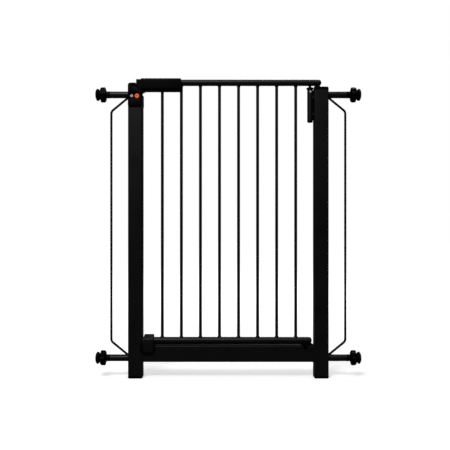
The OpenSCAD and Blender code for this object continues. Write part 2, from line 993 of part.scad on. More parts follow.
module house_envelope() {
  width = latch_x + 0.3 - house_left;
  intersection() {
    slab_xz(house_d) house_outline();
    translate([house_left + width / 2, 0, house_low])
      round_prism(width, house_d, house_h, house_edge_r);
  }
}

module house_body() {
  pocket_left = bolt_tip - 1.5;
  pocket_w = bolt_w + 1;
  front = -house_d / 2;
  difference() {
    house_envelope();
    difference() {
      post_block(-1, left_post_top);
      latch_relief();
    }
    slab_xz(big) nose_outline(gap);
    span([handle_left - 0.4 - gap, -big, nose_tail_low - gap], [big, big, big]);
    span([pocket_left, -pocket_w / 2, bolt_z - gap], [big, pocket_w / 2, big]);
    rod_y(screw_r, front + 6, big, house_left + 7, house_top - 12);
    rod_y(screw_head_r, -front - 2, big, house_left + 7, house_top - 12);
    rod_y(screw_r, 0, big, -post_mid, house_low + 15);
    rod_y(screw_head_r, -front - 2, big, -post_mid, house_low + 15);
    rod_y(screw_r, -big, 0, cover_screw_x, pill_z);
    rod_y(button_r + 0.1, -big, -post_d / 2, button_x, pill_z);
    translate([0, front + pill_depth, 0]) mirror([0, 1, 0]) rotate([90, 0, 0]) mirror([0, 0, 1])
      linear_extrude(10) pill_outline();
    translate([scoop_x, front + scoop_depth, house_top - scoop_r]) rotate([90, 0, 0])
      linear_extrude(10) round_rect(2 * scoop_r, 1.8 * scoop_r, 3);
  }
}

module pill_outline() {
  translate([(pill_left + pill_right) / 2, pill_z])
    square([pill_right - pill_left - 2 * pill_r, 2 * pill_r], center = true);
  for (x = [pill_left + pill_r, pill_right - pill_r])
    translate([x, pill_z]) circle(pill_r);
}

module latch_front_cover() {
  color(plastic) intersection() {
    house_body();
    span([-big, -big, 0], [big, 0, big]);
  }
}

module latch_rear_cover() {
  color(plastic) intersection() {
    house_body();
    span([-big, 0, 0], [big, big, big]);
  }
}

module latch_cover_screw() {
  face = -house_d / 2 + pill_depth;
  color(zinc) {
    rod_y(screw_r, face, -post_d / 2 + 5, cover_screw_x, pill_z);
    intersection() {
      rod_y(cover_screw_r, face - 1.6, face, cover_screw_x, pill_z);
      translate([cover_screw_x, face + 7.3, pill_z]) rotate([90, 0, 0]) sphere(8.9);
    }
  }
}

module latch_rear_screws() {
  back = house_d / 2;
  color(zinc) {
    rod_y(screw_r, -back + 7, back - 2, house_left + 7, house_top - 12);
    rod_y(screw_head_r - 0.2, back - 2, back - 0.5, house_left + 7, house_top - 12);
    rod_y(screw_r, post_d / 2 - 5, back - 2, -post_mid, house_low + 15);
    rod_y(screw_head_r - 0.2, back - 2, back - 0.5, -post_mid, house_low + 15);
  }
}

module release_button() {
  face = -house_d / 2 + pill_depth - button_face;
  back = -post_d / 2 + post_wall + 0.1;
  color(orange) {
    rod_y(button_r, face, back + button_flange_t, button_x, pill_z);
    rod_y(button_flange_r, back, back + button_flange_t, button_x, pill_z);
    rod_y(2.6, back, back + 5, button_x, pill_z);
  }
}

module button_spring() {
  start = -post_d / 2 + post_wall + 0.1 + button_flange_t;
  end = post_d / 2 - post_wall;
  color(zinc) translate([button_x, start, pill_z]) rotate([-90, 0, 0])
    coil(3.8, 0.45, end - start, 9);
}

// ---------- lower stop ----------

// Section of the clip in Y and Z, from its front tongue round the rail to its back
module clip_section() {
  crown = low_rail_z + low_rail_r + 6.8;
  shoulder = crown - 9.4;
  belly = cross_top + cup_shelf_t + gap;
  polygon([
    [-clip_front, clip_low], [-clip_front + tongue_t, clip_low], [-clip_front + tongue_t, belly],
    [clip_back, belly], [clip_back, crown - 4], [clip_back - 4, crown], [-3, crown],
    [-clip_front + 2, shoulder + 1.4], [-clip_front, shoulder - 1]
  ]);
}

module clip_face(more, r) {
  translate([clip_mid, clip_low + 25 - more]) round_rect(clip_w + 2 * more, 50, r);
}

module stop_clip() {
  screw_z = low_rail_z;
  color(steel) difference() {
    intersection() {
      translate([clip_left, 0, 0]) rotate([90, 0, 90]) linear_extrude(clip_w) clip_section();
      slab_xz(big) clip_face(0, 8);
    }
    rod_x(low_rail_r, -big, big, low_rail_z);
    rod_y(screw_r, 0, big, clip_mid, screw_z);
    translate([clip_mid, 0, 0]) cylinder(r = peg_r, h = low_rail_z);
  }
}

module clip_screw() {
  color(zinc) {
    rod_y(screw_r, low_rail_r - 6, clip_back, clip_mid, low_rail_z);
    rod_y(screw_head_r, clip_back, clip_back + 1.6, clip_mid, low_rail_z);
  }
}

module lock_peg() {
  color(zinc) difference() {
    translate([clip_mid, 0, low_rail_z - low_rail_r - peg_len]) {
      translate([0, 0, 1]) cylinder(r = peg_r, h = low_rail_r + peg_len);
      cylinder(r1 = peg_r - 1, r2 = peg_r, h = 1);
    }
    rod_x(low_rail_r, -big, big, low_rail_z);
  }
}

module stop_cup() {
  rim_front = clip_front - 0.7;
  ear_top = cross_top + 8.5;
  cup_w = cup_right - cup_left;
  color(plastic) difference() {
    union() {
      intersection() {
        span([cup_left, -rim_front, cup_low], [cup_right, -cross_d / 2, ear_top]);
        translate([cup_left + cup_w / 2, 0, cup_low + 25]) slab_xz(big) round_rect(cup_w, 50, 14);
      }
      span([latch_x + 0.3, -cup_plate, cross_top], [cup_right, 9, cross_top + cup_shelf_t]);
      translate([clip_mid, 0, cross_top - 14]) cylinder(r = peg_socket_r, h = 15);
    }
    span([clip_left - gap, -big, cross_top + cup_shelf_t], [big, big, big]);
    intersection() {
      slab_xz(big) clip_face(gap, 8);
      span([-big, -big, 0], [big, -cup_plate, big]);
    }
    post_block(-1, post_h);
    translate([clip_mid, 0, 0]) cylinder(r = peg_hole_r, h = big);
  }
}

left_post();
right_post();
crossbar();
left_foot_cap();
right_foot_cap();
right_post_cap();
left_side_tubes();
right_side_tubes();
left_filler_wire();
right_filler_wire();
tube_bushes();
rod_left_top();
rod_left_low();
rod_right_top();
rod_right_low();
pad_left_top();
pad_left_low();
pad_right_top();
pad_right_low();
wheel_left_top();
wheel_left_low();
wheel_right_top();
wheel_right_low();
hinge_barrel();
barrel_weld_tabs();
barrel_cap();
barrel_plug();
barrel_rivet();
closing_spring();
hinge_driver();
upper_hinge_pin();
lower_hinge_pin();
lower_hinge_bush();
top_rail();
bottom_rail();
upright_bars();
top_rail_plug();
bottom_rail_plugs();
handle_front_shell();
handle_rear_shell();
handle_screws();
handle_nose();
lock_bolt();
thumb_slider();
bolt_spring();
latch_front_cover();
latch_rear_cover();
latch_cover_screw();
latch_rear_screws();
release_button();
button_spring();
stop_clip();
clip_screw();
lock_peg();
stop_cup();
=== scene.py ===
# %% [markdown]
# # A pressure-fit safety gate
# The gate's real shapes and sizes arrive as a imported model, one mesh for each part, already in
# place and in metres. This script gives them their finish: powder-coated steel, moulded plastic,
# rubber and zinc. It also remakes the pieces whose fine detail a machining model leaves out.

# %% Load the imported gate
import json
import math

import bmesh
import bpy
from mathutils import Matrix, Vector


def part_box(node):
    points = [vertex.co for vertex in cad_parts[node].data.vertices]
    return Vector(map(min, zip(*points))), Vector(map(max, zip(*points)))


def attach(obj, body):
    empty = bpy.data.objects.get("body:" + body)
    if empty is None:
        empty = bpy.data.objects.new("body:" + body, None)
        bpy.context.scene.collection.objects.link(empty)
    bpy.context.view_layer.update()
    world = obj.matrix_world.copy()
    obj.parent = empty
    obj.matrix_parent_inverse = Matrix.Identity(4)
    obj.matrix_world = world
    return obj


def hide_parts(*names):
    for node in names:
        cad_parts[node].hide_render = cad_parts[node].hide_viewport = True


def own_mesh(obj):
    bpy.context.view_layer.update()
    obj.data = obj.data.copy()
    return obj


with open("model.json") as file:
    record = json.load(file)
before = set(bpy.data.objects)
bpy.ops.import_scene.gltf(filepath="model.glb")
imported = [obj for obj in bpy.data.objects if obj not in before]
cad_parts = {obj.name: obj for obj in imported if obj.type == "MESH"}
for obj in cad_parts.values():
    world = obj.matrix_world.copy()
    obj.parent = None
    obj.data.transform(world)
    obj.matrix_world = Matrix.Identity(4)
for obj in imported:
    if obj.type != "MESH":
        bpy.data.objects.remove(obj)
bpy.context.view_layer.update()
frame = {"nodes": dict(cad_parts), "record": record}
mm = 0.001

# %% [markdown]
# Each part belongs to one moving body: the frame, the swinging panel, the lock bolt, a wheel and
# so on. A remade piece has to ride on the body of the part that it stands for, so a table of
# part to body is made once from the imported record.

# %% Which body each part rides on
body_of = {part: body
           for body, parts in frame["record"]["behaviour"]["bodies"].items() for part in parts}
slot_of = {part: shape.data.materials[0].name for part, shape in frame["nodes"].items()}

# %% [markdown]
# ## The studio
# A product shot has a level camera, a pale floor and large soft lights hung high, here one
# overhead, one in front and one behind. Black paint shows its shape only by what it mirrors,
# so the floor and room look pale to the camera but throw little light back, as grey card would.

# %% Camera
camera = bpy.data.objects.new("gate_camera", bpy.data.cameras.new("gate_camera"))
camera.data.lens = 50.8
camera.location = (-0.0094, -1.8, 0.4313)
camera.rotation_euler = (math.radians(90), 0, 0)
camera.data.clip_end = 50
bpy.context.collection.objects.link(camera)
bpy.context.scene.camera = camera
bpy.context.scene.view_settings.view_transform = "Standard"
print("camera", tuple(round(c, 3) for c in camera.location))


# %% [markdown]
# A node tree is a recipe, for a material or a mesh. The first helper adds a node, sets its
# options and wires its inputs. The others do the steps that come up often, so the recipes
# below read as a list.

# %% Node helpers
def add(tree, kind, wires=None, **options):
    """Adds a node. wires maps an input to another node's output or to a plain value."""
    node = tree.nodes.new(kind)
    for option, value in options.items():
        setattr(node, option, value)
    for name, source in (wires or {}).items():
        if isinstance(source, bpy.types.NodeSocket):
            tree.links.new(source, node.inputs[name])
        else:
            node.inputs[name].default_value = source
    return node


def calc(tree, operation, first, second):
    """The result of one sum on two numbers, each a socket or a plain value."""
    return add(tree, "ShaderNodeMath", {0: first, 1: second}, operation=operation).outputs[0]


def along_z(tree, length):
    """A vector of that length straight up."""
    return add(tree, "ShaderNodeCombineXYZ", {"Z": length}).outputs[0]


def moved(tree, shape, by=(0, 0, 0), turn=(0, 0, 0)):
    """Geometry turned and then moved."""
    return add(tree, "GeometryNodeTransform",
               {"Geometry": shape, "Translation": by, "Rotation": turn}).outputs[0]


def joined(tree, *shapes):
    """Several geometries as one."""
    join = add(tree, "GeometryNodeJoinGeometry")
    for shape in shapes:
        tree.links.new(shape, join.inputs[0])
    return join.outputs[0]


# %% Room and lights
white = (1, 1, 1, 1)
room = bpy.data.worlds.new("studio_room")
bpy.context.scene.world = room
room.use_nodes = True
room_tree = room.node_tree
room_tree.nodes.clear()
seen = add(room_tree, "ShaderNodeBackground", {"Color": white, "Strength": 1.0})
lit = add(room_tree, "ShaderNodeBackground", {"Color": white, "Strength": 0.03})
path = add(room_tree, "ShaderNodeLightPath")
mix = add(room_tree, "ShaderNodeMixShader",
          {0: path.outputs["Is Camera Ray"], 1: lit.outputs[0], 2: seen.outputs[0]})
add(room_tree, "ShaderNodeOutputWorld", {"Surface": mix.outputs[0]})


def soft_light(name, place, aim, width, depth, watts):
    """A rectangular softbox at place, facing aim."""
    lamp = bpy.data.objects.new(name, bpy.data.lights.new(name, "AREA"))
    lamp.data.shape, lamp.data.size, lamp.data.size_y = "RECTANGLE", width, depth
    lamp.data.energy = watts
    lamp.location = place
    lamp.rotation_euler = (Vector(aim) - Vector(place)).to_track_quat("-Z", "Y").to_euler()
    bpy.context.collection.objects.link(lamp)


soft_light("overhead_softbox", (0, -0.25, 2.7), (0, 0, 0.4), width=2.6, depth=1.6, watts=26)
soft_light("front_softbox", (-0.7, -2.1, 2.6), (0, 0, 0.45), width=1.2, depth=0.9, watts=74)
soft_light("back_softbox", (0.9, 2.2, 2.4), (0, 0, 0.45), width=1.4, depth=0.9, watts=30)

# %% [markdown]
# The floor glows more the farther it is from the gate, so it runs into the room without a
# horizon, and the gate's own shadow stays faint.

# %% Floor
floor_mesh = bpy.data.meshes.new("studio_floor")
reach = 14
floor_corners = [(-reach, -reach, 0), (reach, -reach, 0), (reach, reach, 0), (-reach, reach, 0)]
floor_mesh.from_pydata(floor_corners, [], [(0, 1, 2, 3)])
floor = bpy.data.objects.new("studio_floor", floor_mesh)
bpy.context.collection.objects.link(floor)
floor_paint = bpy.data.materials.new("floor_paint")
floor_paint.use_nodes = True
floor_tree = floor_paint.node_tree
floor_tree.nodes.clear()
floor_place = add(floor_tree, "ShaderNodeTexCoord")
from_middle = add(floor_tree, "ShaderNodeVectorMath",
                  {0: floor_place.outputs["Object"]}, operation="LENGTH")
far_glow = add(floor_tree, "ShaderNodeMapRange",
               {"Value": from_middle.outputs["Value"], "From Min": 0.45, "From Max": 2.4,
                "To Min": 0.4, "To Max": 1.0}, interpolation_type="SMOOTHSTEP")
pale = add(floor_tree, "ShaderNodeBsdfDiffuse", {"Color": (0.80, 0.80, 0.80, 1)})
glow = add(floor_tree, "ShaderNodeEmission", {"Color": white, "Strength": far_glow.outputs[0]})
shown = add(floor_tree, "ShaderNodeAddShader", {0: pale.outputs[0], 1: glow.outputs[0]})
card = add(floor_tree, "ShaderNodeBsdfDiffuse", {"Color": (0.16, 0.16, 0.16, 1)})
floor_path = add(floor_tree, "ShaderNodeLightPath")
choice = add(floor_tree, "ShaderNodeMixShader",
             {0: floor_path.outputs["Is Camera Ray"], 1: card.outputs[0], 2: shown.outputs[0]})
add(floor_tree, "ShaderNodeOutputMaterial", {"Surface": choice.outputs[0]})
floor_mesh.materials.append(floor_paint)
print("floor reaches", reach, "m each way")


# %% [markdown]
# ## Shared surface effects
# Paint, plastic and rubber share some effects at different sizes: a grain that breaks up the
# gloss, dust that settles on upward faces, and fine rub marks from hands. Each is built once
# as a shader group with named inputs, then placed in every finish with its own values.
# Each finish reads Object coordinates, because the shapes have no unwrapped map.

# %% Group helper
def shader_group(name, numbers, outputs):
    """An empty shader group: a Vector input, named numbers with their usual value, and outputs."""
    group = bpy.data.node_groups.new(name, "ShaderNodeTree")
    group.interface.new_socket("Vector", in_out="INPUT", socket_type="NodeSocketVector")
    for label, value in numbers.items():
        socket = group.interface.new_socket(label, in_out="INPUT", socket_type="NodeSocketFloat")
        socket.default_value = value
    for label in outputs:
        group.interface.new_socket(label, in_out="OUTPUT", socket_type="NodeSocketFloat")
    given = add(group, "NodeGroupInput").outputs
    return group, given, add(group, "NodeGroupOutput")


# %% Grain: the skin of paint or moulded plastic
grain, given, result = shader_group("surface_grain", {"Grains per metre": 700, "Fine share": 0.35},
                                    ["Height", "Patches"])
coarse = add(grain, "ShaderNodeTexNoise",
             {"Vector": given["Vector"], "Scale": given["Grains per metre"], "Detail": 2.0})
finer = calc(grain, "MULTIPLY", given["Grains per metre"], 3.7)
fine = add(grain, "ShaderNodeTexNoise",
           {"Vector": given["Vector"], "Scale": finer, "Detail": 3.0})
small = calc(grain, "MULTIPLY", fine.outputs[0], given["Fine share"])
both = calc(grain, "ADD", coarse.outputs[0], small)
wide = add(grain, "ShaderNodeTexNoise", {"Vector": given["Vector"], "Scale": 11.0, "Detail": 3.0})
patches = add(grain, "ShaderNodeMapRange",
              {"Value": wide.outputs[0], "From Min": 0.32, "From Max": 0.68})
grain.links.new(both, result.inputs["Height"])
grain.links.new(patches.outputs[0], result.inputs["Patches"])
print("group", grain.name)

# %% Dust: more on upward faces, broken into patches
dust, given, result = shader_group("settled_dust", {"Amount": 0.3, "Patches per metre": 60}, ["Dust"])
facing = add(dust, "ShaderNodeNewGeometry")
split = add(dust, "ShaderNodeSeparateXYZ", {0: facing.outputs["Normal"]})
upward = add(dust, "ShaderNodeMapRange",
             {"Value": split.outputs["Z"], "From Min": 0.25, "From Max": 1.0})
speck = add(dust, "ShaderNodeTexNoise",
            {"Vector": given["Vector"], "Scale": given["Patches per metre"], "Detail": 6.0})
speck_mask = add(dust, "ShaderNodeMapRange",
                 {"Value": speck.outputs[0], "From Min": 0.42, "From Max": 0.66})
caught = calc(dust, "MULTIPLY", upward.outputs[0], speck_mask.outputs[0])
amount = calc(dust, "MULTIPLY", caught, given["Amount"])
dust.links.new(amount, result.inputs["Dust"])
print("group", dust.name)

# %% Rub marks: thin hairlines where hands and shoes pass
rubs, given, result = shader_group("rub_marks", {"Amount": 0.4, "Length": 0.06}, ["Marks"])
stretch = add(rubs, "ShaderNodeCombineXYZ", {"X": 1.0, "Y": 1.0, "Z": given["Length"]})
along = add(rubs, "ShaderNodeVectorMath",
            {0: given["Vector"], 1: stretch.outputs[0]}, operation="MULTIPLY")
lines = add(rubs, "ShaderNodeTexVoronoi", {"Vector": along.outputs[0], "Scale": 260.0},
            feature="DISTANCE_TO_EDGE")
thin = add(rubs, "ShaderNodeMapRange",
           {"Value": lines.outputs["Distance"], "From Min": 0.0, "From Max": 0.035,
            "To Min": 1.0, "To Max": 0.0})
where = add(rubs, "ShaderNodeTexNoise", {"Vector": given["Vector"], "Scale": 17.0, "Detail": 2.0})
here = add(rubs, "ShaderNodeMapRange", {"Value": where.outputs[0], "From Min": 0.55, "From Max": 0.72})
rubbed = calc(rubs, "MULTIPLY", thin.outputs[0], here.outputs[0])
scaled = calc(rubs, "MULTIPLY", rubbed, given["Amount"])
rubs.links.new(scaled, result.inputs["Marks"])
print("group", rubs.name)


# %% [markdown]
# ## The finishes
# Powder coat is paint baked on as dust: it melts into a satin skin with a faint orange peel.
# The latch and handle are moulded plastic with a spark-eroded texture, the wheels' pads are
# rubber, and the screws are zinc-plated steel. A plain colour would look like none of these:
# what tells them apart is grain size, gloss, and how dust and rub marks sit on them.

# %% A finish for paint, plastic or rubber
def dull_finish(name, colour, lighter, gloss, shine, grain_size, grain_depth, dust_amount, rub_amount):
    """Colour varies between colour and lighter; gloss is the least and most roughness, and shine
    how strongly the surface mirrors."""
    material = bpy.data.materials.new(name)
    material.use_nodes = True
    tree = material.node_tree
    skin = tree.nodes["Principled BSDF"]
    skin.inputs["Specular IOR Level"].default_value = shine
    place = add(tree, "ShaderNodeTexCoord").outputs["Object"]
    skin_grain = add(tree, "ShaderNodeGroup", {}, node_tree=grain)
    skin_dust = add(tree, "ShaderNodeGroup", {}, node_tree=dust)
    skin_rubs = add(tree, "ShaderNodeGroup", {}, node_tree=rubs)
    for part in (skin_grain, skin_dust, skin_rubs):
        tree.links.new(place, part.inputs["Vector"])
    skin_grain.inputs["Grains per metre"].default_value = grain_size
    skin_dust.inputs["Amount"].default_value = dust_amount
    skin_rubs.inputs["Amount"].default_value = rub_amount
    base = add(tree, "ShaderNodeMix", {"Factor": skin_grain.outputs["Patches"]}, data_type="RGBA")
    base.inputs[6].default_value = (*colour, 1)
    base.inputs[7].default_value = (*lighter, 1)
    dusty = add(tree, "ShaderNodeMix", {"Factor": skin_dust.outputs["Dust"], 6: base.outputs[2]},
                data_type="RGBA")
    dusty.inputs[7].default_value = (0.060, 0.057, 0.053, 1)
    rubbed_colour = add(tree, "ShaderNodeMix",
                        {"Factor": skin_rubs.outputs["Marks"], 6: dusty.outputs[2]}, data_type="RGBA")
    rubbed_colour.inputs[7].default_value = (*(c * 2.0 + 0.002 for c in colour), 1)
    sheen = add(tree, "ShaderNodeMapRange",
                {"Value": skin_grain.outputs["Patches"], "To Min": gloss[0], "To Max": gloss[1]})
    dulled = calc(tree, "MULTIPLY", skin_dust.outputs["Dust"], 0.5)
    roughness = calc(tree, "ADD", sheen.outputs[0], dulled)
    relief = add(tree, "ShaderNodeBump",
                 {"Height": skin_grain.outputs["Height"], "Strength": 0.6, "Distance": grain_depth})
    tree.links.new(rubbed_colour.outputs[2], skin.inputs["Base Color"])
    tree.links.new(roughness, skin.inputs["Roughness"])
    tree.links.new(relief.outputs[0], skin.inputs["Normal"])
    return material


finishes = {
    "black_powder_coat": dull_finish(
        "black_powder_coat", colour=(0.0022, 0.0022, 0.0024), lighter=(0.0032, 0.0032, 0.0035),
        gloss=(0.38, 0.46), shine=0.15, grain_size=620, grain_depth=0.00006,
        dust_amount=0.04, rub_amount=0.35),
    "black_plastic": dull_finish(
        "black_plastic", colour=(0.0006, 0.0006, 0.0007), lighter=(0.0010, 0.0010, 0.0011),
        gloss=(0.42, 0.50), shine=0.03, grain_size=1500, grain_depth=0.00005,
        dust_amount=0.03, rub_amount=0.25),
    "black_rubber": dull_finish(
        "black_rubber", colour=(0.0009, 0.0009, 0.0010), lighter=(0.0015, 0.0015, 0.0016),
        gloss=(0.62, 0.74), shine=0.04, grain_size=900, grain_depth=0.00008,
        dust_amount=0.04, rub_amount=0.10),
    "orange_plastic": dull_finish(
        "orange_plastic", colour=(0.90, 0.092, 0.010), lighter=(0.94, 0.110, 0.014),
        gloss=(0.26, 0.34), shine=0.3, grain_size=1500, grain_depth=0.00003,
        dust_amount=0.03, rub_amount=0.10),
}
print("finishes:", sorted(finishes))

# %% Zinc-plated steel
zinc = bpy.data.materials.new("zinc_steel")
zinc.use_nodes = True
zinc_tree = zinc.node_tree
plating = zinc_tree.nodes["Principled BSDF"]
plating.inputs["Metallic"].default_value = 1.0
zinc_place = add(zinc_tree, "ShaderNodeTexCoord").outputs["Object"]
drawn = add(zinc_tree, "ShaderNodeMapping", {"Vector": zinc_place, "Scale": (60, 900, 900)})
draw_lines = add(zinc_tree, "ShaderNodeTexNoise",
                 {"Vector": drawn.outputs[0], "Scale": 1.0, "Detail": 4.0})
zinc_grain = add(zinc_tree, "ShaderNodeGroup", {}, node_tree=grain)
zinc_rubs = add(zinc_tree, "ShaderNodeGroup", {}, node_tree=rubs)
for part in (zinc_grain, zinc_rubs):
    zinc_tree.links.new(zinc_place, part.inputs["Vector"])
zinc_grain.inputs["Grains per metre"].default_value = 420
tint = add(zinc_tree, "ShaderNodeMix", {"Factor": zinc_grain.outputs["Patches"]}, data_type="RGBA")
tint.inputs[6].default_value = (0.38, 0.39, 0.40, 1)
tint.inputs[7].default_value = (0.50, 0.49, 0.47, 1)
zinc_rough = add(zinc_tree, "ShaderNodeMapRange",
                 {"Value": draw_lines.outputs[0], "To Min": 0.40, "To Max": 0.58})
zinc_bump = add(zinc_tree, "ShaderNodeBump",
                {"Height": draw_lines.outputs[0], "Strength": 0.35, "Distance": 0.00003})
zinc_tree.links.new(tint.outputs[2], plating.inputs["Base Color"])
zinc_tree.links.new(zinc_rough.outputs[0], plating.inputs["Roughness"])
zinc_tree.links.new(zinc_bump.outputs[0], plating.inputs["Normal"])
finishes["zinc_steel"] = zinc

# %% Put a finish on every part that arrived
for part, shape in frame["nodes"].items():
    for held in shape.material_slots:
        held.material = finishes[slot_of[part]]
print("painted", len(frame["nodes"]), "parts")


# %% [markdown]
# ## Softened edges
# Moulded plastic and bent plate have no knife edges: a small radius catches a line of light,
# and that line is what the eye reads as thickness. A CAD mesh is loose triangles, so a copy is
# merged, its flat faces are joined up, and a narrow bevel goes on every sharp edge. A bevel only
# cuts material away, so the size doesn't grow.

# %% Finishing helper
def install(piece, slot_name, body, *parts):
    """Smooths the piece, gives it its finish, and hangs it on its body in place of parts."""
    mesh = piece.data
    mesh.materials.clear()
    mesh.materials.append(finishes[slot_name])
    for face in mesh.polygons:
        face.material_index = 0
        face.use_smooth = True
    mesh.set_sharp_from_angle(angle=math.radians(38))
    if piece.name not in bpy.context.collection.objects:
        bpy.context.collection.objects.link(piece)
    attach(piece, body)
    if parts:
        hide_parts(*parts)
    return piece


def baked(piece):
    """Turns a piece's modifiers into plain mesh and removes them."""
    ready = bpy.context.evaluated_depsgraph_get()
    mesh = bpy.data.meshes.new_from_object(piece.evaluated_get(ready))
    piece.modifiers.clear()
    piece.data = mesh
    return piece


def soften(part, radius):
    """A copy of a CAD part with a bevel of that radius on its sharp edges."""
    shell = bmesh.new()
    shell.from_mesh(frame["nodes"][part].data)
    bmesh.ops.remove_doubles(shell, verts=shell.verts, dist=2e-6)
    bmesh.ops.dissolve_limit(shell, angle_limit=math.radians(0.6), verts=shell.verts, edges=shell.edges)
    mesh = bpy.data.meshes.new(part + "_soft")
    shell.to_mesh(mesh)
    shell.free()
    piece = bpy.data.objects.new(part + "_soft", mesh)
    bpy.context.collection.objects.link(piece)
    edge = piece.modifiers.new("edge", "BEVEL")
    edge.width, edge.segments, edge.limit_method = radius, 3, "ANGLE"
    edge.angle_limit = math.radians(32)
    edge.miter_outer = "MITER_ARC"
    bpy.context.view_layer.update()
    return install(baked(piece), slot_of[part], body_of[part], part)


# %% Soften the moulded and pressed parts
soft_edges = {
    "handle_front_shell": 0.5, "handle_rear_shell": 0.5, "handle_nose": 0.7, "thumb_slider": 0.3,
    "latch_front_cover": 0.5, "latch_rear_cover": 0.5, "stop_clip": 0.5, "stop_cup": 0.4,
    "left_foot_cap": 0.6, "right_foot_cap": 0.6, "right_post_cap": 0.7, "barrel_cap": 0.5,
    "barrel_plug": 0.5, "lower_hinge_bush": 0.4, "tube_bushes": 0.4, "lock_bolt": 0.4,
    "barrel_weld_tabs": 0.4,
}
for part, radius in soft_edges.items():
    print(part, len(soften(part, radius * mm).data.polygons), "faces")


# %% [markdown]
# ## Turned pieces
# A hand wheel, a rubber pad and a push button are round: each is an outline spun about an
# axis. Spinning in code lets the radius change with the angle too, which gives the wheel its
# lobes in one smooth surface, where a union of cylinders would leave creases.

# %% Spin an outline
def turned(name, outline, axis, centre, steps=64, lobes=0, lobe_height=0.0, side=1):
    """Spins (along, radius, lobe share) points, in millimetres, about an axis through centre. An
    outline that starts and ends off the axis is closed into a ring."""
    rings = bmesh.new()
    first, second = {"X": (1, 2), "Y": (0, 2), "Z": (0, 1)}[axis]
    axis_index = "XYZ".index(axis)
    loops = []
    for along, radius, share in outline:
        loop = []
        for k in range(steps if radius > 0 else 1):
            angle = 2 * math.pi * k / steps
            crest = (0.5 + 0.5 * math.cos(lobes * angle)) ** 0.8 if lobes else 0.0
            reach = (radius + share * lobe_height * crest) * mm
            point = [0.0, 0.0, 0.0]
            point[axis_index] = centre[axis_index] + side * along * mm
            point[first] = centre[first] + reach * math.cos(angle)
            point[second] = centre[second] + reach * math.sin(angle)
            loop.append(rings.verts.new(point))
        loops.append(loop)
    is_ring = outline[0][1] > 0 and outline[-1][1] > 0
    pairs = list(zip(loops, loops[1:])) + ([(loops[-1], loops[0])] if is_ring else [])
    for a, b in pairs:
        for k in range(steps):
            n = (k + 1) % steps
            corners = [a[k % len(a)], a[n % len(a)], b[n % len(b)], b[k % len(b)]]
            rings.faces.new(list(dict.fromkeys(corners)))
    bmesh.ops.recalc_face_normals(rings, faces=rings.faces)
    mesh = bpy.data.meshes.new(name)
    rings.to_mesh(mesh)
    rings.free()
    return bpy.data.objects.new(name, mesh)


# %% [markdown]
# ## Hand wheels and pads
# A hand wheel winds each foot out against the wall. It has eight soft lobes for the
# fingers, and a moulding recess round its hub. The pad behind it is rubber, with a lip, and two
# grooves in the wall face that keep it from sliding. All four corners use the same two outlines,
# in millimetres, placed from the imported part's own box.

# %% Make the four wheels and pads
wheel_outline = [
    (0.0, 5.1, 0), (0.0, 13.0, 0), (0.0, 16.0, 0.1), (0.2, 17.2, 0.4), (0.8, 18.2, 0.75),
    (1.6, 18.7, 0.95), (2.6, 18.9, 1), (5.0, 18.9, 1), (8.0, 18.9, 1), (11.8, 18.9, 1),
    (12.9, 18.7, 0.95), (13.8, 18.2, 0.75), (14.4, 17.2, 0.4), (14.6, 16.4, 0.1), (14.6, 16.1, 0),
    (14.3, 15.8, 0), (10.0, 15.6, 0), (9.6, 15.2, 0), (9.6, 9.8, 0), (10.0, 9.3, 0), (14.2, 9.1, 0),
    (14.6, 8.7, 0), (14.6, 5.6, 0), (14.2, 5.1, 0),
]
pad_outline = [
    (2.4, 0, 0), (2.4, 5.1, 0), (0.0, 5.1, 0), (0.0, 11.1, 0), (0.35, 11.45, 0), (2.0, 12.35, 0),
    (3.0, 13.6, 0), (4.0, 14.9, 0), (4.5, 15.7, 0), (5.0, 16.3, 0), (6.0, 16.8, 0), (7.0, 16.85, 0),
    (9.2, 16.85, 0), (9.8, 16.7, 0), (11.3, 14.7, 0), (12.2, 13.0, 0), (12.7, 12.0, 0),
    (13.0, 11.0, 0), (13.0, 9.4, 0), (12.5, 9.1, 0), (12.5, 8.4, 0), (13.0, 8.1, 0), (13.0, 5.6, 0),
    (12.5, 5.3, 0), (12.5, 4.6, 0), (13.0, 4.3, 0), (13.0, 0, 0),
]
lobe_count = 8
lobe_height = 2.6
around = 96
corners = ["left_top", "left_low", "right_top", "right_low"]
for corner in corners:
    side = -1 if corner.startswith("left") else 1
    for kind, outline, lobes, slot_name in (("wheel", wheel_outline, lobe_count, "black_plastic"),
                                            ("pad", pad_outline, 0, "black_rubber")):
        part = kind + "_" + corner
        low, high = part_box(part)
        start = low if side > 0 else high
        centre = (start.x, 0, (low.z + high.z) / 2)
        piece = turned(part + "_turned", outline, "X", centre, around, lobes, lobe_height, side)
        install(piece, slot_name, body_of[part], part)
print("wheel is", len(wheel_outline) * around, "faces")

# %% [markdown]
# ## The orange button
# The only bright piece: a push button in the latch's oval recess. Its face is slightly dished
# for a fingertip and its rim is rounded.

# %% Make the button
button_outline = [
    (0.30, 0, 0), (0.26, 2.6, 0), (0.12, 4.4, 0), (0.0, 5.2, 0), (0.08, 5.8, 0), (0.35, 6.2, 0),
    (0.8, 6.4, 0), (6.2, 6.4, 0), (6.2, 7.2, 0), (6.4, 7.4, 0), (7.5, 7.4, 0), (7.7, 7.2, 0),
    (7.7, 2.6, 0), (11.0, 2.6, 0), (11.2, 2.4, 0), (11.2, 0, 0),
]
low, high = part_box("release_button")
button = turned("release_button_turned", button_outline, "Y",
                ((low.x + high.x) / 2, low.y, (low.z + high.z) / 2))
install(button, "orange_plastic", "release_button", "release_button")
print("button face at Y", round(low.y / mm, 1), "mm")


# %% [markdown]
# ## Pieces that repeat or follow a path
# Bars, weld ripples, screw threads and bent wires are rules rather than shapes: so many, so
# far apart, along such a line. Geometry Nodes hold such a rule as a small tree with named
# sizes, so one tree makes every case. The result is turned into plain mesh before it is hung
# on its body.

